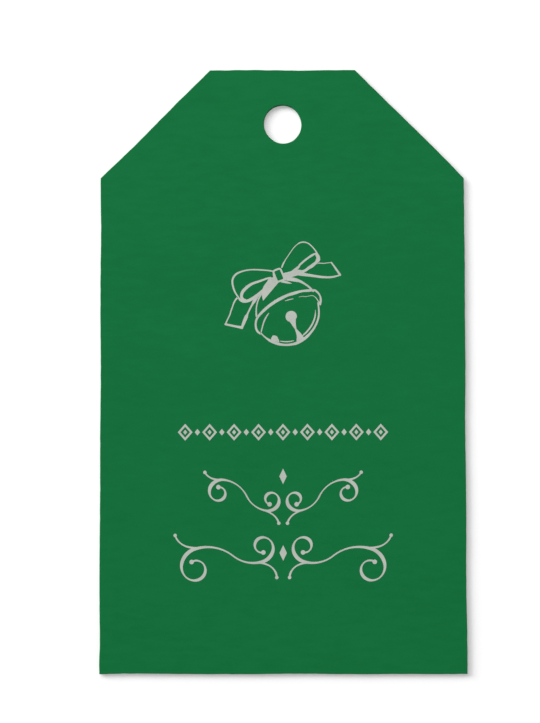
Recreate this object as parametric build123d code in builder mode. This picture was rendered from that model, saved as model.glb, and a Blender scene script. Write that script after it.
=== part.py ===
from build123d import *
import os
from math import atan2, cos, degrees, hypot, pi, radians, sin

# Gift tag: two sheets of dyed card mounted back to back, die-cut with two cut corners, punched for a
# string, and stamped with foil that lies on the face.
# Frame: the tag lies on its back. +Z points out of the stamped face, +Y to the end with the hole, and
# the origin is the middle of the back. Lengths are millimetres and angles are degrees.

# Card
TAG_WIDTH = 54.0
TAG_LENGTH = 89.3
CORNER_CUT = 16.2
SHEET_THICKNESS = 0.34
GLUE_THICKNESS = 0.03
EDGE_ROLL = 0.05  # round that the cutting die leaves along the face's edges
HOLE_DIAMETER = 5.5
HOLE_BELOW_TOP = 8.1

# Foil
FOIL_THICKNESS = 0.02

# Pen: a line swells from hairline to shade as it turns across the nib, and ends in a drop
HAIRLINE = 0.22
SHADE = 0.56
NIB_ANGLE = 38.0
SWELL_POWER = 0.5
DROP_RADIUS = 0.34
LEAF_DROP_RADIUS = 0.26
PEN_STEPS = 8  # even, since each arc of a line spans two steps

# Bell, in axes of its own that lean to the left
BELL_RADIUS = 5.05
BELL_BELOW_TOP = 36.15
BELL_ASIDE = 0.5
BELL_TILT = 22.0
BELL_WEIGHT = 0.28  # weight of the outline at its ends
BELL_SHADE = 0.42  # and at its middle
BODY_START = 198.0
BODY_SWEEP = 152.0
CAP_RADIUS = 4.95
CAP_ASIDE = 0.33
CAP_START = 17.0
CAP_SWEEP = 150.0
GLEAM_SHARE = 0.855  # place of the line of light inside the rim, as a share of the radius
GLEAM_START = -78.0
GLEAM_SWEEP = 60.0
GLEAM_WEIGHT = 0.36
RIM_SHARE = 0.865  # and of the thin line beside the slot's foot
RIM_START = 236.0
RIM_SWEEP = 27.0
RIM_WEIGHT = 0.26

# Belt: a flange round the bell's middle, whose ends stand out past its sides. Places are shares of
# the bell's radius: three points of its upper and lower line, from left to right, and its two tips
BELT_TOP_SHARES = ((-0.85, 0.17), (0.20, 0.44), (1.02, 0.28))
BELT_LOW_SHARES = ((-0.92, -0.31), (0.20, 0.31), (1.00, -0.17))
BELT_LEFT_TIP_SHARE = (-1.02, -0.08)
BELT_RIGHT_TIP_SHARE = (1.09, 0.04)
BELT_WEIGHT = 0.46
BELT_END_WEIGHT = 0.30
BELT_LOW_WEIGHT = 0.24
BELT_LOW_STROKE_SHARES = ((0.00, 0.28), (0.54, 0.65), (0.72, 1.00))  # the lower line is broken

# Sound slot: a round eye with a slit that narrows to its waist, and the cross slot at the rim
SLOT_ASIDE = 0.45
EYE_RADIUS = 0.84
EYE_BELOW_MIDDLE = 0.88
SLIT_TOP_WIDTH = 1.20
SLIT_WAIST_WIDTH = 0.42
SLIT_WAIST_BELOW_MIDDLE = 2.9
SLIT_FOOT_WIDTH = 1.50
CROSS_EYE_RADIUS = 0.40
CROSS_EYE_ANGLE = 225.0
CROSS_EYE_SHARE = 0.78
CROSS_FOOT_WIDTH = 1.90

# Bow: knot, loops and tails of one ribbon, the folds beside the knot, and the shade that it casts on
# the bell. A table holds the corners of a curve, from the knot's middle, as shares of the loop's
# length and height or the tail's length and drop. The curves named out run from the knot, and the
# ones named back run to it
KNOT_WIDTH = 1.45
KNOT_HEIGHT = 2.05
KNOT_ROUND = 0.45
KNOT_LIFT = 0.44  # knot's middle above the top of the bell
KNOT_ASIDE = 1.05  # and to the right of the bell's middle
KNOT_WEIGHT = 0.28
LOOP_LENGTH = 6.5
LOOP_HEIGHT = 3.5
RIGHT_LOOP_OUT_SHARES = ((0.13, 0.26), (0.53, 1.08), (0.98, 1.33), (1.00, 0.04))
RIGHT_LOOP_BACK_SHARES = ((1.00, 0.04), (0.98, -0.29), (0.62, -0.31), (0.11, -0.09))
RIGHT_LIP_SHARES = ((0.97, 0.27), (0.75, 0.27), (0.52, 0.04), (0.25, -0.09))
LEFT_LOOP_OUT_SHARES = ((-0.10, 0.26), (-0.62, 0.85), (-1.20, 1.10), (-1.04, -0.22))
LEFT_LOOP_BACK_SHARES = ((-1.04, -0.22), (-1.02, -0.71), (-0.68, -0.54), (-0.12, -0.09))
LEFT_LIP_SHARES = ((-0.91, -0.44), (-1.11, -0.26), (-0.83, 0.31), (-0.15, 0.03))
CUFF_SHARES = ((0.95, 0.25), (1.00, 0.18), (1.00, 0.00), (0.92, -0.10))  # turn at the right loop's end
RIGHT_FOLD_OUT_SHARES = ((0.11, 0.01), (0.25, -0.03), (0.40, -0.06), (0.60, -0.36))
RIGHT_FOLD_BACK_SHARES = ((0.60, -0.36), (0.40, -0.33), (0.25, -0.26), (0.06, -0.27))
LEFT_FOLD_OUT_SHARES = ((-0.09, 0.01), (-0.34, 0.03), (-0.54, -0.26), (-0.55, -0.76))
LEFT_FOLD_BACK_SHARES = ((-0.55, -0.76), (-0.42, -0.63), (-0.25, -0.46), (-0.05, -0.27))
LONG_SHADE_OUT_SHARES = ((0.11, -0.20), (0.25, -0.24), (0.38, -0.40), (0.48, -0.70))
LONG_SHADE_BACK_SHARES = ((0.48, -0.70), (0.32, -0.57), (0.22, -0.43), (0.06, -0.28))
SHORT_SHADE_OUT_SHARES = ((0.03, -0.27), (0.09, -0.31), (0.15, -0.40), (0.21, -0.54))
SHORT_SHADE_BACK_SHARES = ((0.21, -0.54), (0.12, -0.49), (0.05, -0.40), (-0.02, -0.31))
TAIL_LENGTH = 8.5
TAIL_DROP = 3.4
RIGHT_TAIL_OUT_SHARES = ((0.12, -0.09), (0.41, -0.09), (0.73, -0.18), (0.93, -0.35))
RIGHT_TAIL_BACK_SHARES = ((0.99, -0.99), (0.66, -1.00), (0.49, -0.26), (0.09, -0.13))
LEFT_TAIL_OUT_SHARES = ((-0.12, -0.03), (-0.53, 0.09), (-0.88, -0.35), (-1.18, -1.11))
LEFT_TAIL_BACK_SHARES = ((-0.94, -1.52), (-0.66, -0.76), (-0.38, -0.18), (-0.09, -0.15))
RIBBON_WEIGHT = 0.21  # weight of a ribbon's line at its ends
RIBBON_TOP_SHADE = 0.30  # and at its middle, along the upper edges
RIBBON_LOW_SHADE = 0.46  # and along the lower edges and lips
RIBBON_END_WEIGHT = 0.32
CUFF_WEIGHT = 0.54
FINE_TIP = 0.10

# Ornament row: open lozenges, each with a pip, and small lozenges between them
ROW_BELOW_BELL = 17.7
ROW_PITCH = 3.6
LOZENGE_COUNT = 9
LOZENGE_WIDTH = 2.2
LOZENGE_HEIGHT = 2.5
LOZENGE_WEIGHT = 0.30
PIP_WIDTH = 0.60
PIP_HEIGHT = 0.76
SPACER_WIDTH = 0.80
SPACER_HEIGHT = 1.00

# Flourishes: mirrored scrolls. A scroll starts at an inflection, and its heading turns faster and
# faster both ways, as on a clothoid. Places and lengths are shares of the flourish's width:
# x, y, heading, forward length, forward turn, backward length, backward turn
UPPER_BELOW_ROW = 9.3
UPPER_WIDTH = 22.4
UPPER_SCROLL_SHARES = (0.238, -0.006, 52.0, 0.566, -420.0, 0.476, -400.0)
LOWER_BELOW_UPPER = 9.0
LOWER_WIDTH = 31.8
LOWER_SCROLL_SHARES = (0.230, 0.004, 26.0, 0.560, -420.0, 0.420, -400.0)
# Leaves spring from a scroll: 1 for its forward or -1 for its backward half, how far along that
# half, the leaf's length as a share of the width, and its turn
UPPER_LEAF_SHARES = ((1, 0.36, 0.130, 64.0), (-1, 0.30, 0.140, 60.0))
LOWER_LEAF_SHARES = ((1, 0.28, 0.144, 80.0), (-1, 0.26, 0.132, 90.0))
UPPER_GEM_SHARE = 0.125  # height of the lozenge on the middle line, as a share of the width
LOWER_GEM_SHARE = 0.018
GEM_WIDTH = 1.10
GEM_HEIGHT = 2.30
SCROLL_POWER = 2.0
LEAF_POWER = 1.5
SCROLL_STEPS = 16
LEAF_STEPS = 6
SUM_STEPS = 24

CARD_THICKNESS = 2 * SHEET_THICKNESS + GLUE_THICKNESS
TOP_Y = TAG_LENGTH / 2
HOLE_Y = TOP_Y - HOLE_BELOW_TOP
BELL_Y = TOP_Y - BELL_BELOW_TOP
ROW_Y = BELL_Y - ROW_BELOW_BELL
UPPER_Y = ROW_Y - UPPER_BELOW_ROW
LOWER_Y = UPPER_Y - LOWER_BELOW_UPPER
KNOT_Y = BELL_RADIUS + KNOT_LIFT

BELL_PLANE = Plane(
    origin=(BELL_ASIDE, BELL_Y, CARD_THICKNESS),
    x_dir=(cos(radians(BELL_TILT)), sin(radians(BELL_TILT)), 0),
    z_dir=(0, 0, 1),
)
ROW_PLANE = Plane.XY.offset(CARD_THICKNESS).move(Location((0, ROW_Y, 0)))
UPPER_PLANE = Plane.XY.offset(CARD_THICKNESS).move(Location((0, UPPER_Y, 0)))
LOWER_PLANE = Plane.XY.offset(CARD_THICKNESS).move(Location((0, LOWER_Y, 0)))

os.makedirs("parts", exist_ok=True)


def cut_outline():
    """Outline that the die cuts, with its punched hole, in the sketch that is open."""
    blank = Rectangle(TAG_WIDTH, TAG_LENGTH)
    chamfer(blank.vertices().group_by(Axis.Y)[-1], length=CORNER_CUT)
    with Locations((0, HOLE_Y)):
        Circle(HOLE_DIAMETER / 2, mode=Mode.SUBTRACT)


def bow_curves(tables, length, height):
    """Corners of the bow's curves from their tables of shares."""
    return [[(KNOT_ASIDE + x * length, KNOT_Y + y * height) for x, y in shares] for shares in tables]


def bell_points(shares):
    """Points on the bell from their shares of its radius."""
    return [(x * BELL_RADIUS, y * BELL_RADIUS) for x, y in shares]


def curve_places(corners):
    """Points and headings along the cubic curve with these four corners."""
    (ax, ay), (bx, by), (cx, cy), (dx, dy) = corners
    places = []
    for i in range(PEN_STEPS + 1):
        t = i / PEN_STEPS
        s = 1 - t
        x = s**3 * ax + 3 * s * s * t * bx + 3 * s * t * t * cx + t**3 * dx
        y = s**3 * ay + 3 * s * s * t * by + 3 * s * t * t * cy + t**3 * dy
        go_x = s * s * (bx - ax) + 2 * s * t * (cx - bx) + t * t * (dx - cx)
        go_y = s * s * (by - ay) + 2 * s * t * (cy - by) + t * t * (dy - cy)
        places.append((x, y, degrees(atan2(go_y, go_x))))
    return places


def arc_places(radius, start, sweep, aside=0):
    """Points and headings along an arc, whose middle may lie aside of the origin."""
    places = []
    for i in range(PEN_STEPS + 1):
        angle = radians(start + sweep * i / PEN_STEPS)
        places.append((aside + radius * cos(angle), radius * sin(angle), degrees(angle) + 90))
    return places


def scroll_places(x, y, heading, length, turn, power, steps):
    """Points and headings, at equal turns, along a curve whose heading turns by a power of the way."""
    places = [(x, y, heading)]
    ways = [(i / steps) ** (1 / power) for i in range(steps + 1)]
    for way, next_way in zip(ways, ways[1:]):
        step = (next_way - way) / SUM_STEPS
        for k in range(SUM_STEPS):
            middle = radians(heading + turn * (way + (k + 0.5) * step) ** power)
            x += length * step * cos(middle)
            y += length * step * sin(middle)
        places.append((x, y, heading + turn * next_way**power))
    return places


def scroll_place(x, y, heading, length, turn, power, share):
    """Point and heading at a share of the way along such a curve."""
    step = share / SUM_STEPS
    for k in range(SUM_STEPS):
        middle = radians(heading + turn * ((k + 0.5) * step) ** power)
        x += length * step * cos(middle)
        y += length * step * sin(middle)
    return x, y, heading + turn * share**power


def arc_chain(points):
    """Arcs that run on from each other, each through three of the points, in the line that is open."""
    for i in range(0, len(points) - 1, 2):
        ThreePointArc(points[i], points[i + 1], points[i + 2])


def pen_line(places, thin, thick, nib=None):
    """Line with round ends through places, swelling along its way and across the nib, if one is given."""
    last = len(places) - 1
    left, right, halves = [], [], []
    for i, (x, y, heading) in enumerate(places):
        swell = abs(sin(pi * i / last)) ** SWELL_POWER
        if nib is not None:
            swell *= sin(radians(heading - nib)) ** 2
        half = (thin + (thick - thin) * swell) / 2
        across = radians(heading + 90)
        left.append((x + half * cos(across), y + half * sin(across)))
        right.append((x - half * cos(across), y - half * sin(across)))
        halves.append(half)
    x, y, heading = places[0]
    start_tip = (x - halves[0] * cos(radians(heading)), y - halves[0] * sin(radians(heading)))
    x, y, heading = places[-1]
    end_tip = (x + halves[-1] * cos(radians(heading)), y + halves[-1] * sin(radians(heading)))
    with BuildLine() as stroke:
        arc_chain(left)
        ThreePointArc(left[-1], end_tip, right[-1])
        arc_chain(right)
        ThreePointArc(right[0], start_tip, left[0])
    make_face(stroke.edges())


def arc_line(start, middle, end, thin, thick, part_shares=(0, 1)):
    """Pen line along part of the arc through three points, in the sketch that is open."""
    with BuildLine():
        arc = ThreePointArc(start, middle, end)
    first_share, last_share = part_shares
    places = []
    for i in range(PEN_STEPS + 1):
        share = first_share + (last_share - first_share) * i / PEN_STEPS
        point, way = arc @ share, arc % share
        places.append((point.X, point.Y, degrees(atan2(way.Y, way.X))))
    pen_line(places, thin, thick)


def straight_line(start, end, weight):
    """Straight pen line of one weight with round ends, in the sketch that is open."""
    run_x, run_y = end[0] - start[0], end[1] - start[1]
    middle = ((start[0] + end[0]) / 2, (start[1] + end[1]) / 2)
    with Locations(middle):
        SlotCenterToCenter(hypot(run_x, run_y), weight, rotation=degrees(atan2(run_y, run_x)))


def ribbon_face(out, back):
    """Face between a curve that runs out from the knot and one that runs back to it."""
    with BuildLine() as rim:
        arc_chain([place[:2] for place in curve_places(out)])
        if out[-1] != back[0]:
            Line(out[-1], back[0])
        arc_chain([place[:2] for place in curve_places(back)])
        Line(back[-1], out[0])
    make_face(rim.edges())


def lozenge(width, height, mode=Mode.ADD):
    """Upright lozenge at each active location, in the sketch that is open."""
    corners = ((width / 2, 0), (0, height / 2), (-width / 2, 0), (0, -height / 2))
    Polygon(*corners, mode=mode)


def draw_flourish(width, scroll, leaves, gem_share):
    """Right half of a flourish, its mirror image and the lozenge between, in the sketch that is open."""
    x, y, heading, ahead, ahead_turn, back, back_turn = scroll
    ways = {
        1: (x * width, y * width, heading, ahead * width, ahead_turn, SCROLL_POWER),
        -1: (x * width, y * width, heading + 180, back * width, back_turn, SCROLL_POWER),
    }
    forward = scroll_places(*ways[1], SCROLL_STEPS)
    backward = scroll_places(*ways[-1], SCROLL_STEPS)
    root = [(px, py, way + 180) for px, py, way in reversed(backward[1:])]
    pen_line(root + forward, HAIRLINE, SHADE, NIB_ANGLE)
    with Locations(forward[-1][:2], backward[-1][:2]):
        Circle(DROP_RADIUS)
    for side, share, length, turn in leaves:
        spring = scroll_place(*ways[side], share)
        leaf = scroll_places(*spring, length * width, turn, LEAF_POWER, LEAF_STEPS)
        pen_line(leaf, HAIRLINE, SHADE, NIB_ANGLE)
        with Locations(leaf[-1][:2]):
            Circle(LEAF_DROP_RADIUS)
    mirror(about=Plane.YZ)
    with Locations((0, gem_share * width)):
        lozenge(GEM_WIDTH, GEM_HEIGHT)


# Bow and bell: the ribbon's filled shapes hide what lies behind them, then its lines are inked
loop_tables = (
    RIGHT_LOOP_OUT_SHARES,
    RIGHT_LOOP_BACK_SHARES,
    LEFT_LOOP_OUT_SHARES,
    LEFT_LOOP_BACK_SHARES,
)
fold_tables = (
    RIGHT_FOLD_OUT_SHARES,
    RIGHT_FOLD_BACK_SHARES,
    LEFT_FOLD_OUT_SHARES,
    LEFT_FOLD_BACK_SHARES,
)
shade_tables = (
    LONG_SHADE_OUT_SHARES,
    LONG_SHADE_BACK_SHARES,
    SHORT_SHADE_OUT_SHARES,
    SHORT_SHADE_BACK_SHARES,
)
tail_tables = (
    RIGHT_TAIL_OUT_SHARES,
    RIGHT_TAIL_BACK_SHARES,
    LEFT_TAIL_OUT_SHARES,
    LEFT_TAIL_BACK_SHARES,
)
loops = bow_curves(loop_tables, LOOP_LENGTH, LOOP_HEIGHT)
folds = bow_curves(fold_tables, LOOP_LENGTH, LOOP_HEIGHT)
tails = bow_curves(tail_tables, TAIL_LENGTH, TAIL_DROP)
shades = bow_curves(shade_tables, LOOP_LENGTH, LOOP_HEIGHT)
line_tables = (RIGHT_LIP_SHARES, LEFT_LIP_SHARES, CUFF_SHARES)
right_lip, left_lip, cuff = bow_curves(line_tables, LOOP_LENGTH, LOOP_HEIGHT)

belt_top = bell_points(BELT_TOP_SHARES)
belt_low = bell_points(BELT_LOW_SHARES)
left_tip, right_tip = bell_points((BELT_LEFT_TIP_SHARE, BELT_RIGHT_TIP_SHARE))
belt_left = (belt_top[0], left_tip, belt_low[0])
belt_right = (belt_top[-1], right_tip, belt_low[-1])

with BuildSketch(BELL_PLANE) as knot_shape:
    with Locations((KNOT_ASIDE, KNOT_Y)):
        RectangleRounded(KNOT_WIDTH, KNOT_HEIGHT, KNOT_ROUND)

with BuildSketch(BELL_PLANE) as loop_shape:
    for out, back in zip(loops[::2], loops[1::2]):
        ribbon_face(out, back)

with BuildSketch(BELL_PLANE) as tail_shape:
    for out, back in zip(tails[::2], tails[1::2]):
        ribbon_face(out, back)

with BuildSketch(BELL_PLANE) as bow_ink:
    for out, back in zip(loops[::2], loops[1::2]):
        pen_line(curve_places(out), RIBBON_WEIGHT, RIBBON_TOP_SHADE)
        pen_line(curve_places(back), RIBBON_WEIGHT, RIBBON_LOW_SHADE)
    for lip in (right_lip, left_lip):
        pen_line(curve_places(lip), RIBBON_WEIGHT, RIBBON_LOW_SHADE)
    pen_line(curve_places(cuff), RIBBON_WEIGHT, CUFF_WEIGHT)
    for out, back in zip(folds[::2], folds[1::2]):
        ribbon_face(out, back)
    add(knot_shape.sketch_local)
    with Locations((KNOT_ASIDE, KNOT_Y)):
        RectangleRounded(
            KNOT_WIDTH - 2 * KNOT_WEIGHT,
            KNOT_HEIGHT - 2 * KNOT_WEIGHT,
            KNOT_ROUND - KNOT_WEIGHT,
            mode=Mode.SUBTRACT,
        )

with BuildSketch(BELL_PLANE) as tail_ink:
    for out, back in zip(tails[::2], tails[1::2]):
        pen_line(curve_places(out), RIBBON_WEIGHT, RIBBON_TOP_SHADE)
        pen_line(curve_places(back), RIBBON_WEIGHT, RIBBON_LOW_SHADE)
        straight_line(out[-1], back[0], RIBBON_END_WEIGHT)
    for cover in (knot_shape, loop_shape, bow_ink):
        add(cover.sketch_local, mode=Mode.SUBTRACT)

with BuildSketch(BELL_PLANE) as bell_ink:
    pen_line(arc_places(BELL_RADIUS - BELL_SHADE / 2, BODY_START, BODY_SWEEP), BELL_WEIGHT, BELL_SHADE)
    cap = arc_places(CAP_RADIUS - BELL_SHADE / 2, CAP_START, CAP_SWEEP, CAP_ASIDE)
    pen_line(cap, BELL_WEIGHT, BELL_WEIGHT)
    pen_line(arc_places(GLEAM_SHARE * BELL_RADIUS, GLEAM_START, GLEAM_SWEEP), FINE_TIP, GLEAM_WEIGHT)
    pen_line(arc_places(RIM_SHARE * BELL_RADIUS, RIM_START, RIM_SWEEP), FINE_TIP, RIM_WEIGHT)
    for out, back in zip(shades[::2], shades[1::2]):
        ribbon_face(out, back)
    for cover in (knot_shape, loop_shape, bow_ink, tail_shape, tail_ink):
        add(cover.sketch_local, mode=Mode.SUBTRACT)

with BuildSketch(BELL_PLANE) as belt_ink:
    arc_line(*belt_top, BELT_END_WEIGHT, BELT_WEIGHT)
    arc_line(*belt_left, BELT_END_WEIGHT, BELT_END_WEIGHT)
    arc_line(*belt_right, BELT_END_WEIGHT, BELT_END_WEIGHT)
    for part_shares in BELT_LOW_STROKE_SHARES:
        arc_line(*belt_low, FINE_TIP, BELT_LOW_WEIGHT, part_shares)
    for cover in (knot_shape, loop_shape, bow_ink, tail_shape, tail_ink, bell_ink):
        add(cover.sketch_local, mode=Mode.SUBTRACT)

slit_side = (
    (SLIT_TOP_WIDTH / 2, -EYE_BELOW_MIDDLE - EYE_RADIUS / 2),
    (SLIT_WAIST_WIDTH / 2, -SLIT_WAIST_BELOW_MIDDLE),
    (SLIT_FOOT_WIDTH / 2, -BELL_RADIUS),
)
with BuildSketch(BELL_PLANE) as slot_ink:
    with Locations((SLOT_ASIDE, -EYE_BELOW_MIDDLE)):
        Circle(EYE_RADIUS)
    with Locations((SLOT_ASIDE, 0)):
        Polygon(*slit_side, *[(-x, y) for x, y in reversed(slit_side)], align=None)
    with PolarLocations(CROSS_EYE_SHARE * BELL_RADIUS, 1, start_angle=CROSS_EYE_ANGLE):
        Circle(CROSS_EYE_RADIUS)
        Polygon(
            (0, CROSS_EYE_RADIUS),
            (0, -CROSS_EYE_RADIUS),
            (BELL_RADIUS - CROSS_EYE_SHARE * BELL_RADIUS, -CROSS_FOOT_WIDTH / 2),
            (BELL_RADIUS - CROSS_EYE_SHARE * BELL_RADIUS, CROSS_FOOT_WIDTH / 2),
            align=None,
        )
    Circle(BELL_RADIUS - BELL_SHADE / 2, mode=Mode.INTERSECT)
    for cover in (belt_ink, bell_ink):
        add(cover.sketch_local, mode=Mode.SUBTRACT)

# Ornament row
slant = hypot(LOZENGE_WIDTH, LOZENGE_HEIGHT)
open_width = LOZENGE_WIDTH - 2 * LOZENGE_WEIGHT * slant / LOZENGE_HEIGHT
open_height = LOZENGE_HEIGHT - 2 * LOZENGE_WEIGHT * slant / LOZENGE_WIDTH
with BuildSketch(ROW_PLANE) as row_ink:
    with GridLocations(ROW_PITCH, 0, LOZENGE_COUNT, 1):
        lozenge(LOZENGE_WIDTH, LOZENGE_HEIGHT)
        lozenge(open_width, open_height, mode=Mode.SUBTRACT)
        lozenge(PIP_WIDTH, PIP_HEIGHT)
    with GridLocations(ROW_PITCH, 0, LOZENGE_COUNT - 1, 1):
        lozenge(SPACER_WIDTH, SPACER_HEIGHT)

with BuildSketch(UPPER_PLANE) as upper_ink:
    draw_flourish(UPPER_WIDTH, UPPER_SCROLL_SHARES, UPPER_LEAF_SHARES, UPPER_GEM_SHARE)

with BuildSketch(LOWER_PLANE) as lower_ink:
    draw_flourish(LOWER_WIDTH, LOWER_SCROLL_SHARES, LOWER_LEAF_SHARES, LOWER_GEM_SHARE)

# Card: back sheet, glue film and face sheet, cut by one die
with BuildPart() as back_sheet:
    with BuildSketch(Plane.XY):
        cut_outline()
    extrude(amount=SHEET_THICKNESS)
back_sheet.part.label = "back_sheet"
export_step(back_sheet.part, "parts/back_sheet.step")

with BuildPart() as mounting_adhesive:
    with BuildSketch(Plane.XY.offset(SHEET_THICKNESS)):
        cut_outline()
    extrude(amount=GLUE_THICKNESS)
mounting_adhesive.part.label = "mounting_adhesive"
export_step(mounting_adhesive.part, "parts/mounting_adhesive.step")

with BuildPart() as face_sheet:
    with BuildSketch(Plane.XY.offset(SHEET_THICKNESS + GLUE_THICKNESS)):
        cut_outline()
    extrude(amount=SHEET_THICKNESS)
    fillet(face_sheet.faces().sort_by(Axis.Z)[-1].edges(), radius=EDGE_ROLL)
face_sheet.part.label = "face_sheet"
export_step(face_sheet.part, "parts/face_sheet.step")

# Foil on the face
with BuildPart() as bow_foil:
    extrude(bow_ink.sketch, amount=FOIL_THICKNESS)
bow_foil.part.label = "bow_foil"
export_step(bow_foil.part, "parts/bow_foil.step")

with BuildPart() as ribbon_tail_foil:
    extrude(tail_ink.sketch, amount=FOIL_THICKNESS)
ribbon_tail_foil.part.label = "ribbon_tail_foil"
export_step(ribbon_tail_foil.part, "parts/ribbon_tail_foil.step")

with BuildPart() as bell_foil:
    extrude(bell_ink.sketch, amount=FOIL_THICKNESS)
bell_foil.part.label = "bell_foil"
export_step(bell_foil.part, "parts/bell_foil.step")

with BuildPart() as bell_belt_foil:
    extrude(belt_ink.sketch, amount=FOIL_THICKNESS)
bell_belt_foil.part.label = "bell_belt_foil"
export_step(bell_belt_foil.part, "parts/bell_belt_foil.step")

with BuildPart() as bell_slot_foil:
    extrude(slot_ink.sketch, amount=FOIL_THICKNESS)
bell_slot_foil.part.label = "bell_slot_foil"
export_step(bell_slot_foil.part, "parts/bell_slot_foil.step")

with BuildPart() as ornament_row_foil:
    extrude(row_ink.sketch, amount=FOIL_THICKNESS)
ornament_row_foil.part.label = "ornament_row_foil"
export_step(ornament_row_foil.part, "parts/ornament_row_foil.step")

with BuildPart() as upper_flourish_foil:
    extrude(upper_ink.sketch, amount=FOIL_THICKNESS)
upper_flourish_foil.part.label = "upper_flourish_foil"
export_step(upper_flourish_foil.part, "parts/upper_flourish_foil.step")

with BuildPart() as lower_flourish_foil:
    extrude(lower_ink.sketch, amount=FOIL_THICKNESS)
lower_flourish_foil.part.label = "lower_flourish_foil"
export_step(lower_flourish_foil.part, "parts/lower_flourish_foil.step")
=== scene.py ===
from math import cos, pi, radians, sin

import bmesh
import bpy
from mathutils import Matrix, Vector, noise
from mathutils.bvhtree import BVHTree
from mathutils.geometry import delaunay_2d_cdt


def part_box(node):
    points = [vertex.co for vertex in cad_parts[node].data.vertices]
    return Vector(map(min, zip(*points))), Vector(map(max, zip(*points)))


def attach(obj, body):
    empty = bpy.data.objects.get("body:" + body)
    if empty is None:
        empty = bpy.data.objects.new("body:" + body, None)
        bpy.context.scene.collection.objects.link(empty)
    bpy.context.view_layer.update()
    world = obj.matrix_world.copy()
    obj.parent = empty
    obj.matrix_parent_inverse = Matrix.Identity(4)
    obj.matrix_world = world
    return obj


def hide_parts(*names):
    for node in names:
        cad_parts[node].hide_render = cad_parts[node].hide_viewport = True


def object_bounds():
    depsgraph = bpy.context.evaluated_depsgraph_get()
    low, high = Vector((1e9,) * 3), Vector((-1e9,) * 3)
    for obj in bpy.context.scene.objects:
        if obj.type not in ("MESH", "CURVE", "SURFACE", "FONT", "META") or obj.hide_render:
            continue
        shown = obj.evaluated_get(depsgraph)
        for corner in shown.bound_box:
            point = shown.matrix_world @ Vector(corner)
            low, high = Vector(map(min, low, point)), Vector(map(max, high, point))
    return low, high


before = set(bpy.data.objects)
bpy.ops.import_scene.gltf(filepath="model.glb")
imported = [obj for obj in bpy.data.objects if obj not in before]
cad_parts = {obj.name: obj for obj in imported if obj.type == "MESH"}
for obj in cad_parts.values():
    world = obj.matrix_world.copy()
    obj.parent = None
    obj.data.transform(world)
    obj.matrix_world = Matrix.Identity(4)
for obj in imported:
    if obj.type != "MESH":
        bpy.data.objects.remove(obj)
CAD_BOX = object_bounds()

# Gift tag of dyed card with stamped foil, lying on a white table and seen from above.
# Every length is in metres, in the frame of the CAD model.
MM = 0.001
WHITE = (1.0, 1.0, 1.0, 1.0)

# Camera: a long lens above the tag, leaning a little to its foot
LENS = 85.0
CAMERA_AIM = (-1.90 * MM, 1.21 * MM)
CAMERA_DISTANCE = 251.8 * MM
CAMERA_TILT = radians(2.50)
CAMERA_ROLL = radians(-0.07)
CAMERA_CLIP = 10.0 * MM

# Light on a level surface: shares of the light that renders a colour as it is written
SKY_SHARE = 0.33
SUN_SHARE = 0.42
SOFTBOX_SHARE = 0.25
SKY_SEEN = 1.05  # level of the sky as the camera and mirror-like surfaces see it
SUN_HEIGHT = radians(28.0)
SUN_SIDE = radians(150.0)  # where the light comes from, turned from +X towards +Y
SUN_SPREAD = radians(34.0)
SOFTBOX_PLACE = (-0.08, 0.22, 0.25)
SOFTBOX_SIZE = 0.20

# Table
FLOOR_HALF = 3.0
FLOOR_DROP = 0.02 * MM  # gap that keeps the table clear of the tag's back
FLOOR_COLOUR = (0.80, 0.80, 0.80, 1.0)
FLOOR_LIFT = 0.27  # light that only the camera and mirror-like surfaces see, so that the table is white
FLOOR_FAR_LIFT = 0.60  # and further out, where less of the softbox's light falls
FLOOR_NEAR = 0.045  # how far from the tag's middle the lift starts to rise
FLOOR_FAR = 0.13  # and how far out it has risen

# Noise in the materials: its usual range, and how many finer layers it has
NOISE_RANGE = (0.28, 0.72)
NOISE_DETAIL = 3.0
FINE_DETAIL = 4.0

# Sockets of a mix of two colours, whose names aren't unique
MIX_FACTOR, MIX_DARK, MIX_LIGHT = 0, 6, 7
MIX_RESULT = 2

# Card. The sizes are those of the noise's spots along X, Y and Z, and a bump is its height and strength.
CARD_LIGHT = (0.0070, 0.166, 0.0475, 1.0)
CARD_DARK = (0.0054, 0.1415, 0.0392, 1.0)
CARD_SPECULAR = 0.10
CARD_ROUGHNESS = (0.78, 0.92)
CARD_BUMP = (0.03 * MM, 0.6)
FELT_SIZE = (3.2 * MM, 0.90 * MM, 3.2 * MM)
CLOUD_SIZE = (16.0 * MM, 9.0 * MM, 16.0 * MM)
FIBRE_SIZE = (0.50 * MM, 0.10 * MM, 0.50 * MM)
TOOTH_SIZE = (0.22 * MM, 0.18 * MM, 0.22 * MM)
DYE_SHARES = (0.45, 0.30, 0.25)  # of felt, cloud and fibre
RELIEF_SHARES = (0.45, 0.25, 0.30)  # of felt, fibre and tooth

# Cut side of the card
CUT_LIGHT = (0.020, 0.205, 0.070, 1.0)
CUT_DARK = (0.007, 0.110, 0.033, 1.0)
CUT_ROUGHNESS = (0.85, 0.97)
CUT_BUMP = (0.02 * MM, 0.6)
CUT_SIZE = (0.45 * MM, 0.45 * MM, 0.045 * MM)

# Foil
FOIL_LIGHT = (0.460, 0.491, 0.443, 1.0)
FOIL_DARK = (0.400, 0.427, 0.385, 1.0)
FOIL_ROUGHNESS = (0.24, 0.36)
FOIL_BUMP = (0.01 * MM, 0.5)
FOIL_CLOUD_SIZE = (2.4 * MM, 1.6 * MM, 2.4 * MM)
FOIL_RELIEF_SHARES = (0.6, 0.4)  # of tooth and fibre

# Glue
GLUE_LIGHT = (0.060, 0.085, 0.055, 1.0)
GLUE_DARK = (0.030, 0.050, 0.030, 1.0)
GLUE_ROUGHNESS = (0.45, 0.65)
GLUE_SIZE = (0.8 * MM, 0.8 * MM, 0.8 * MM)

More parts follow.
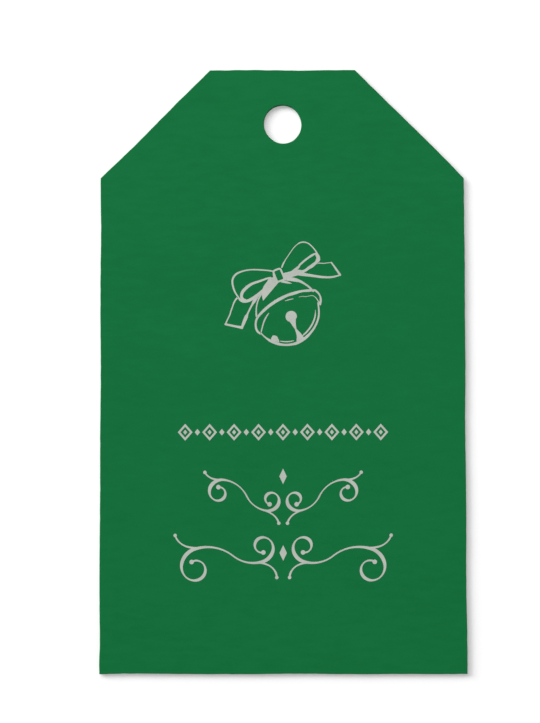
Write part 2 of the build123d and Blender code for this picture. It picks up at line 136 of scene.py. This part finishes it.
# Stretches where the stamped lines are finer, in millimetres: the middle and radius of each, and how
# far in a line's sides are drawn there, below zero where the line is bolder
FINE_STRETCHES = {
    "bow_foil": (
        ((1.0, 17.5), 2.0, 0.080),
        ((3.5, 18.7), 2.2, 0.050),
        ((2.8, 16.0), 1.7, 0.080),
        ((-4.3, 14.8), 2.6, 0.040),
    ),
    "ribbon_tail_foil": (
        ((-7.5, 8.7), 2.0, 0.036),
        ((-4.9, 9.0), 1.2, 0.090),
        ((-5.75, 7.1), 1.2, -0.080),
        ((6.3, 15.6), 1.6, 0.055),
        ((6.0, 13.6), 2.4, 0.050),
    ),
    "bell_foil": (
        ((5.0, 7.0), 2.6, 0.050),
        ((-2.9, 5.0), 1.1, 0.060),
        ((0.7, 3.7), 1.2, 0.040),
        ((-3.8, 9.6), 1.5, 0.040),
    ),
    "bell_belt_foil": (
        ((2.8, 10.45), 0.8, 0.080),
        ((4.2, 10.05), 0.9, 0.080),
        ((0.9, 10.3), 0.8, 0.050),
    ),
    "bell_slot_foil": (((1.95, 6.5), 1.3, 0.080),),
}
FINE_POWER = 4  # of the fall from the middle of a stretch to its radius
FINE_WIDTH_SHARE = 0.28  # the most that a side is drawn in, as a share of the line's width
FINE_LOOKS = (radians(-60.0), 0.0, radians(60.0))  # ways in which the line's width is looked for

# Stretches where the stamped lines run a little aside, in millimetres: the middle and radius of each,
# and the way that the lines go there
LINE_SHIFTS = {
    "bow_foil": (
        ((1.20, 17.40), 2.40, (0.19, 0.00)),
        ((5.05, 15.60), 1.10, (-0.20, 0.22)),
        ((4.10, 15.10), 1.00, (-0.14, 0.18)),
        ((-3.30, 13.40), 1.70, (0.00, -0.13)),
        ((1.83, 14.73), 1.20, (0.52, 0.27)),
        ((-1.75, 13.62), 0.75, (-0.42, -0.14)),
    ),
    "ribbon_tail_foil": (
        ((5.05, 15.60), 1.10, (-0.20, 0.22)),
        ((-6.45, 10.20), 1.50, (-0.28, 0.42)),
        ((-7.20, 9.20), 1.40, (-0.25, 0.00)),
        ((1.83, 14.73), 1.20, (0.52, 0.27)),
    ),
    "bell_foil": (
        ((4.53, 10.13), 1.40, (0.00, 0.80)),
        ((4.00, 5.40), 3.20, (-0.10, 0.07)),
    ),
    "bell_belt_foil": (
        ((4.53, 10.13), 1.40, (0.00, 0.80)),
        ((3.00, 10.45), 1.30, (0.00, 0.33)),
        ((-4.20, 6.70), 1.60, (0.20, 0.00)),
    ),
    "bell_slot_foil": (
        ((-1.03, 5.12), 0.75, (-0.30, -0.22)),
        ((-0.63, 4.10), 0.60, (0.12, 0.00)),
        ((-2.05, 4.55), 0.50, (0.19, -0.17)),
        ((4.00, 5.40), 3.20, (-0.10, 0.07)),
        ((1.95, 6.50), 1.30, (-0.08, 0.00)),
        ((1.95, 5.00), 0.80, (0.14, 0.00)),
    ),
}
SHIFT_POWER = 2
LINE_STEP = 0.20 * MM  # distance of the points along a stamped line

# Punched hole
HOLE_STEPS = 120
HOLE_STRETCH = 0.20 * MM  # how far it reaches beyond its circle
HOLE_STRETCH_SIDE = radians(-70.0)  # and to which side, turned from +X towards +Y

# Cut outline: it wanders in from the die's line, apart from stretches that are given in millimetres
# by the middle and radius of each, and its side is ragged
EDGE_STEP = 0.30 * MM  # distance of the points along the outline
CUT_WANDER = 0.13 * MM
CUT_WANDER_LENGTH = 11.0 * MM
CUT_WANDER_LEVEL = 88.48  # level of the noise that the wander is read at
CUT_TRUE_STRETCHES = (((-27.0, 27.5), 6.0), ((-27.0, -43.2), 2.2), ((21.0, 34.5), 8.5))
CUT_TRUE_POWER = 2
CUT_RAGGED = 0.045 * MM  # depth of the ragged spots
CUT_RAGGED_LENGTH = 1.5 * MM
CUT_RAGGED_HEIGHT = 0.16 * MM

# Rows of points up a side: how far in each stands, and how high as a share of the piece's height
FACE_SIDE_ROWS = (
    (0.004 * MM, 0.0),
    (0.0, 0.14),
    (0.0, 0.42),
    (0.004 * MM, 0.70),
    (0.014 * MM, 0.85),
    (0.038 * MM, 0.95),
    (0.090 * MM, 1.0),
)
BACK_SIDE_ROWS = (
    (0.030 * MM, 0.0),
    (0.008 * MM, 0.10),
    (0.0, 0.32),
    (0.0, 0.70),
    (0.006 * MM, 1.0),
)
GLUE_SIDE_ROWS = ((0.06 * MM, 0.0), (0.06 * MM, 1.0))
FOIL_SIDE_ROWS = ((0.0, 0.0), (0.0, 0.6), (0.006 * MM, 1.0))

# Meshes
FLAT = 0.001 * MM  # what counts as level, and the step that places are rounded to
MITRE_LEAST = 0.5  # keeps the points of sharp corners from being moved far in
FILL_KIND = 1  # triangles inside the outermost rings
FILL_MERGE = 1e-6  # in millimetres


def around(corners):
    """Pairs of neighbours round a closed row of corners."""
    return list(zip(corners, corners[1:] + corners[:1]))


def flat_loops(node):
    """Loops round a node's flat top, in plan, each with the node's material on its left."""
    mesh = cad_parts[node].data
    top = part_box(node)[1].z
    ways = set()
    for polygon in mesh.polygons:
        corners = [mesh.vertices[i].co for i in polygon.vertices]
        if all(abs(corner.z - top) < FLAT for corner in corners):
            ways.update(around([(round(corner.x / FLAT), round(corner.y / FLAT)) for corner in corners]))
    rim = {start: end for start, end in ways if (end, start) not in ways}
    loops = []
    while rim:
        start, place = min(rim.items())
        loop = [start]
        while place != start:
            loop.append(place)
            place = rim.pop(place)
        rim.pop(start)
        loops.append([Vector(key) * FLAT for key in loop])
    return loops


def signed_area(loop):
    """Area of a loop, below zero where it goes round a hole."""
    return sum(a.x * b.y - b.x * a.y for a, b in around(loop)) / 2


def stepped(loop, step):
    """The loop with points added along its runs, about a step apart."""
    places = []
    for a, b in around(loop):
        count = max(1, round((b - a).length / step))
        places += [a.lerp(b, i / count) for i in range(count)]
    return places


def inward(loop):
    """For each point of a loop, the way into the material that moves both of its runs in by one."""
    ways = []
    for i, place in enumerate(loop):
        before = (place - loop[i - 1]).normalized()
        after = (loop[(i + 1) % len(loop)] - place).normalized()
        side_before = Vector((-before.y, before.x))
        side_after = Vector((-after.y, after.x))
        ways.append((side_before + side_after) / max(MITRE_LEAST, 1 + side_before.dot(side_after)))
    return ways


def weight_at(place, middle, radius, power):
    """1 at the middle of a stretch, given in millimetres, falling to 0 at its radius."""
    reach = (place - Vector(middle) * MM).length / (radius * MM)
    return max(0.0, 1 - reach**power)


def noise_share(place, level, length):
    """Noise from 0 to 1 at a level, with spots of about this length in plan."""
    return min(1.0, max(0.0, 0.5 + noise.noise((*(place / length), level))))


def punched(loop):
    """The same hole with more sides, reaching a little further out on one side."""
    middle = sum(loop, Vector((0, 0))) / len(loop)
    radius = max((place - middle).length for place in loop)
    places = []
    for i in range(HOLE_STEPS):
        turn = -2 * pi * i / HOLE_STEPS
        stretch = HOLE_STRETCH * max(0.0, cos(turn - HOLE_STRETCH_SIDE)) ** 2
        places.append(middle + (radius + stretch) * Vector((cos(turn), sin(turn))))
    return places


def wandering(loop):
    """The loop with its points drawn in a little, more here and less there."""
    places = []
    for place, way in zip(loop, inward(loop)):
        share = noise_share(place, CUT_WANDER_LEVEL, CUT_WANDER_LENGTH)
        for middle, radius in CUT_TRUE_STRETCHES:
            share *= 1 - weight_at(place, middle, radius, CUT_TRUE_POWER)
        places.append(place + way * CUT_WANDER * share)
    return places


def fine_depth(node, place):
    """How far in a line's side is drawn at this place of the node."""
    depth = 0.0
    for middle, radius, inset in FINE_STRETCHES.get(node, ()):
        depth += inset * MM * weight_at(place, middle, radius, FINE_POWER)
    return depth


def shifted(node, place):
    """A place of the node, moved with the stretch of line that it is on, without a kink at its ends."""
    aside = Vector((0, 0))
    for middle, radius, way in LINE_SHIFTS.get(node, ()):
        aside += Vector(way) * MM * weight_at(place, middle, radius, SHIFT_POWER) ** 2
    return place + aside


def fine_lines(node):
    """Loops of a node, finer along some stretches of its lines and moved aside along others."""
    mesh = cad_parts[node].data
    faces = [polygon.vertices for polygon in mesh.polygons]
    walls = BVHTree.FromPolygons([vertex.co for vertex in mesh.vertices], faces)
    height = sum(corner.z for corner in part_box(node)) / 2
    loops = []
    for rim in flat_loops(node):
        loop = stepped(rim, LINE_STEP)
        places = []
        for place, way in zip(loop, inward(loop)):
            ahead = way.normalized()
            inside = (*(place + ahead * FLAT), height)
            looks = [(*(Matrix.Rotation(turn, 2) @ ahead), 0.0) for turn in FINE_LOOKS]
            width = min(walls.ray_cast(inside, look)[3] or 0.0 for look in looks)
            depth = min(fine_depth(node, place), FINE_WIDTH_SHARE * width)
            places.append(shifted(node, place + way * depth))
        loops.append(places)
    return loops


def close_flat(bm, rings, upward):
    """Fills the flat areas that lie to the left of these rings of vertices, seen from above."""
    corners = [corner for ring in rings for corner in ring]
    number = {corner: i for i, corner in enumerate(corners)}
    rims = [(number[a], number[b]) for ring in rings for a, b in around(ring)]
    places = [corner.co.xy / MM for corner in corners]
    _, _, fills, sources, _, _ = delaunay_2d_cdt(places, rims, [], FILL_KIND, FILL_MERGE)
    triangles = [tuple(sources[i][0] for i in fill) for fill in fills]
    beside = {edge: triangle for triangle in triangles for edge in around(triangle)}
    walls = set(rims)
    found = set()
    todo = [beside[rim] for rim in rims]
    while todo:
        triangle = todo.pop()
        if triangle not in found:
            found.add(triangle)
            todo += [beside[b, a] for a, b in around(triangle) if (a, b) not in walls]
    for triangle in sorted(found):
        bm.faces.new([corners[i] for i in (triangle if upward else triangle[::-1])])


def solid(name, loops, rows, ragged=0.0):
    """Closed piece over these loops. Each row gives how far its ring stands in, and its height."""
    bm = bmesh.new()
    rings = []
    for inset, height in rows:
        level = []
        for loop in loops:
            ring = []
            for place, way in zip(loop, inward(loop)):
                depth = inset + ragged * noise_share(place, height / CUT_RAGGED_HEIGHT, CUT_RAGGED_LENGTH)
                ring.append(bm.verts.new((*(place + way * depth), height)))
            level.append(ring)
        rings.append(level)
    for lower, upper in zip(rings, rings[1:]):
        for low, up in zip(lower, upper):
            for i in range(len(low)):
                side = bm.faces.new((low[i - 1], low[i], up[i], up[i - 1]))
                side.smooth = True
                side.material_index = 1
    close_flat(bm, rings[0], upward=False)
    close_flat(bm, rings[-1], upward=True)
    mesh = bpy.data.meshes.new(name)
    bm.to_mesh(mesh)
    bm.free()
    piece = bpy.data.objects.new(name, mesh)
    bpy.context.scene.collection.objects.link(piece)
    return piece


def put(tree, kind, inputs=(), **settings):
    """New node with these settings. An input that is another node's output is linked."""
    node = tree.nodes.new(kind)
    for key, value in settings.items():
        setattr(node, key, value)
    for key, value in dict(inputs).items():
        if isinstance(value, bpy.types.NodeSocket):
            tree.links.new(value, node.inputs[key])
        else:
            node.inputs[key].default_value = value
    return node


def grain(tree, size, detail=NOISE_DETAIL):
    """Noise from 0 to 1 whose spots have about this size along X, Y and Z."""
    where = put(tree, "ShaderNodeTexCoord").outputs["Object"]
    per_size = [1 / length for length in size]
    scaled = put(tree, "ShaderNodeVectorMath", {0: where, 1: per_size}, operation="MULTIPLY")
    inputs = {"Vector": scaled.outputs[0], "Scale": 1.0, "Detail": detail}
    return put(tree, "ShaderNodeTexNoise", inputs).outputs["Fac"]


def spread(tree, value, low=0.0, high=1.0):
    """A noise value from its usual range to low and high."""
    least, most = NOISE_RANGE
    inputs = {"Value": value, "From Min": least, "From Max": most, "To Min": low, "To Max": high}
    return put(tree, "ShaderNodeMapRange", inputs).outputs["Result"]


def tones(tree, value, dark, light):
    """Colour between two tones, by a noise value."""
    inputs = {MIX_FACTOR: spread(tree, value), MIX_DARK: dark, MIX_LIGHT: light}
    return put(tree, "ShaderNodeMix", inputs, data_type="RGBA").outputs[MIX_RESULT]


def combine(tree, values, shares):
    """Sum of values, each times its share."""
    total = 0.0
    for value, share in zip(values, shares):
        inputs = {0: value, 1: share, 2: total}
        total = put(tree, "ShaderNodeMath", inputs, operation="MULTIPLY_ADD").outputs[0]
    return total


def bump(tree, height, distance, strength):
    """Normal from a height in shares of distance."""
    inputs = {"Height": height, "Distance": distance, "Strength": strength}
    return put(tree, "ShaderNodeBump", inputs).outputs["Normal"]


def new_material(name):
    """New material with its node tree and its Principled shader."""
    material = bpy.data.materials.new(name)
    material.use_nodes = True
    tree = material.node_tree
    return material, tree, tree.nodes["Principled BSDF"]


def link(tree, shader, **outputs):
    """Links outputs to the shader's inputs, named with underscores for spaces."""
    for key, output in outputs.items():
        tree.links.new(output, shader.inputs[key.replace("_", " ")])


def card_material():
    """Dyed felt-marked card: long faint streaks, clouds in the dye, short fibres and tooth."""
    material, tree, shader = new_material("dyed_card")
    felt = grain(tree, FELT_SIZE)
    cloud = grain(tree, CLOUD_SIZE)
    fibre = grain(tree, FIBRE_SIZE)
    tooth = grain(tree, TOOTH_SIZE, FINE_DETAIL)
    dye = combine(tree, (felt, cloud, fibre), DYE_SHARES)
    relief = combine(tree, (felt, fibre, tooth), RELIEF_SHARES)
    link(
        tree,
        shader,
        Base_Color=tones(tree, dye, CARD_DARK, CARD_LIGHT),
        Roughness=spread(tree, tooth, *CARD_ROUGHNESS),
        Normal=bump(tree, relief, *CARD_BUMP),
    )
    shader.inputs["Specular IOR Level"].default_value = CARD_SPECULAR
    return material


def cut_material():
    """Cut side of the card: crushed fibres in layers, paler than the face."""
    material, tree, shader = new_material("card_cut_side")
    layers = grain(tree, CUT_SIZE, FINE_DETAIL)
    tooth = grain(tree, TOOTH_SIZE)
    link(
        tree,
        shader,
        Base_Color=tones(tree, layers, CUT_DARK, CUT_LIGHT),
        Roughness=spread(tree, tooth, *CUT_ROUGHNESS),
        Normal=bump(tree, layers, *CUT_BUMP),
    )
    shader.inputs["Specular IOR Level"].default_value = CARD_SPECULAR
    return material


def foil_material():
    """Satin silver foil that shows the card's tooth."""
    material, tree, shader = new_material("satin_foil")
    cloud = grain(tree, FOIL_CLOUD_SIZE)
    tooth = grain(tree, TOOTH_SIZE, FINE_DETAIL)
    fibre = grain(tree, FIBRE_SIZE)
    relief = combine(tree, (tooth, fibre), FOIL_RELIEF_SHARES)
    link(
        tree,
        shader,
        Base_Color=tones(tree, cloud, FOIL_DARK, FOIL_LIGHT),
        Roughness=spread(tree, tooth, *FOIL_ROUGHNESS),
        Normal=bump(tree, relief, *FOIL_BUMP),
    )
    shader.inputs["Metallic"].default_value = 1.0
    return material


def glue_material():
    """Dry glue with specks of dyed fibre in it."""
    material, tree, shader = new_material("dry_glue")
    specks = grain(tree, GLUE_SIZE)
    link(
        tree,
        shader,
        Base_Color=tones(tree, specks, GLUE_DARK, GLUE_LIGHT),
        Roughness=spread(tree, specks, *GLUE_ROUGHNESS),
    )
    return material


def dress(piece, node, slot, *materials):
    """Lets the piece stand for its CAD node, with these materials."""
    for material in materials:
        piece.data.materials.append(material)
    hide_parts(node)
    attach(piece, "root")


def side_rows(node, rows):
    """Rows up a side, with their heights instead of shares of the node's height."""
    low, high = (corner.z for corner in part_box(node))
    return [(inset, low + (high - low) * share) for inset, share in rows]


def make_card():
    """Two sheets with ragged cut sides and a rolled face edge, and the glue between them."""
    card, cut, glue = card_material(), cut_material(), glue_material()
    loops = []
    for loop in flat_loops("back_sheet"):
        if signed_area(loop) > 0:
            loops.append(wandering(stepped(loop, EDGE_STEP)))
        else:
            loops.append(punched(loop))
    face = solid("card_face", loops, side_rows("face_sheet", FACE_SIDE_ROWS), CUT_RAGGED)
    dress(face, "face_sheet", "card", card, cut)
    back = solid("card_back", loops, side_rows("back_sheet", BACK_SIDE_ROWS), CUT_RAGGED)
    dress(back, "back_sheet", "card", card, cut)
    film = solid("glue_film", loops, side_rows("mounting_adhesive", GLUE_SIDE_ROWS), CUT_RAGGED)
    dress(film, "mounting_adhesive", "adhesive", glue, glue)


def make_foil():
    """Foil pieces on the face."""
    foil = foil_material()
    for node in sorted(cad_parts):
        if node.endswith("_foil"):
            name = node.replace("_foil", "_stamping")
            piece = solid(name, fine_lines(node), side_rows(node, FOIL_SIDE_ROWS))
            dress(piece, node, "foil", foil, foil)


def seen_only(tree):
    """1 for rays from the camera and from mirror-like and clear surfaces, and otherwise 0."""
    path = put(tree, "ShaderNodeLightPath")
    total = path.outputs["Is Camera Ray"]
    for kind in ("Is Glossy Ray", "Is Transmission Ray"):
        inputs = {0: total, 1: path.outputs[kind]}
        total = put(tree, "ShaderNodeMath", inputs, operation="MAXIMUM").outputs[0]
    return total


def make_table():
    """White table that keeps the tag's shadow."""
    mesh = bpy.data.meshes.new("table")
    ends = ((-1, -1), (1, -1), (1, 1), (-1, 1))
    corners = [(x * FLOOR_HALF, y * FLOOR_HALF, -FLOOR_DROP) for x, y in ends]
    mesh.from_pydata(corners, [], [(0, 1, 2, 3)])
    table = bpy.data.objects.new("table", mesh)
    bpy.context.scene.collection.objects.link(table)
    material, tree, shader = new_material("white_table")
    shader.inputs["Base Color"].default_value = FLOOR_COLOUR
    shader.inputs["Roughness"].default_value = 1.0
    shader.inputs["Specular IOR Level"].default_value = 0.0
    shader.inputs["Emission Color"].default_value = WHITE
    where = put(tree, "ShaderNodeTexCoord").outputs["Object"]
    reach = put(tree, "ShaderNodeVectorMath", {0: where}, operation="LENGTH").outputs["Value"]
    inputs = {
        "Value": reach,
        "From Min": FLOOR_NEAR,
        "From Max": FLOOR_FAR,
        "To Min": FLOOR_LIFT,
        "To Max": FLOOR_FAR_LIFT,
    }
    level = put(tree, "ShaderNodeMapRange", inputs, interpolation_type="SMOOTHSTEP").outputs["Result"]
    lift = put(tree, "ShaderNodeMath", {0: seen_only(tree), 1: level}, operation="MULTIPLY")
    tree.links.new(lift.outputs[0], shader.inputs["Emission Strength"])
    mesh.materials.append(material)


def make_world():
    """Even pale sky that the camera sees as white."""
    world = bpy.data.worlds.new("studio")
    bpy.context.scene.world = world
    world.use_nodes = True
    tree = world.node_tree
    sky = tree.nodes["Background"]
    sky.inputs["Color"].default_value = WHITE
    inputs = {0: seen_only(tree), 1: SKY_SEEN - SKY_SHARE, 2: SKY_SHARE}
    level = put(tree, "ShaderNodeMath", inputs, operation="MULTIPLY_ADD")
    tree.links.new(level.outputs[0], sky.inputs["Strength"])


def add_lamp(name, kind, place, aim):
    """Lamp at a place, turned to its aim."""
    data = bpy.data.lights.new(name, kind)
    lamp = bpy.data.objects.new(name, data)
    bpy.context.scene.collection.objects.link(lamp)
    lamp.location = place
    lamp.rotation_euler = (Vector(aim) - Vector(place)).to_track_quat("-Z", "Y").to_euler()
    return lamp


def make_lights():
    """Broad key light from the upper left, and a softbox nearer the tag's head."""
    side = (cos(SUN_SIDE) * cos(SUN_HEIGHT), sin(SUN_SIDE) * cos(SUN_HEIGHT), sin(SUN_HEIGHT))
    key = add_lamp("key", "SUN", side, (0, 0, 0))
    key.visible_glossy = False  # so that the foil has no glare of it
    key.data.angle = SUN_SPREAD
    key.data.energy = SUN_SHARE * pi / sin(SUN_HEIGHT)
    softbox = add_lamp("softbox", "AREA", SOFTBOX_PLACE, (0, 0, 0)).data
    softbox.shape = "DISK"
    softbox.size = SOFTBOX_SIZE
    reach = Vector(SOFTBOX_PLACE)
    slope = reach.z / reach.length
    softbox.energy = SOFTBOX_SHARE * pi * pi * reach.length_squared / slope


def make_camera():
    """Camera above the tag."""
    data = bpy.data.cameras.new("camera")
    data.lens = LENS
    data.clip_start = CAMERA_CLIP
    camera = bpy.data.objects.new("camera", data)
    bpy.context.scene.collection.objects.link(camera)
    turn = Matrix.Rotation(CAMERA_TILT, 4, "X") @ Matrix.Rotation(CAMERA_ROLL, 4, "Z")
    aim = Vector((*CAMERA_AIM, CAD_BOX[1].z))
    camera.matrix_world = Matrix.Translation(aim + turn.col[2].xyz * CAMERA_DISTANCE) @ turn
    bpy.context.scene.camera = camera


make_camera()
make_lights()
make_world()
make_table()
make_card()
make_foil()
bpy.context.scene.view_settings.view_transform = "Standard"

bpy.context.view_layer.update()
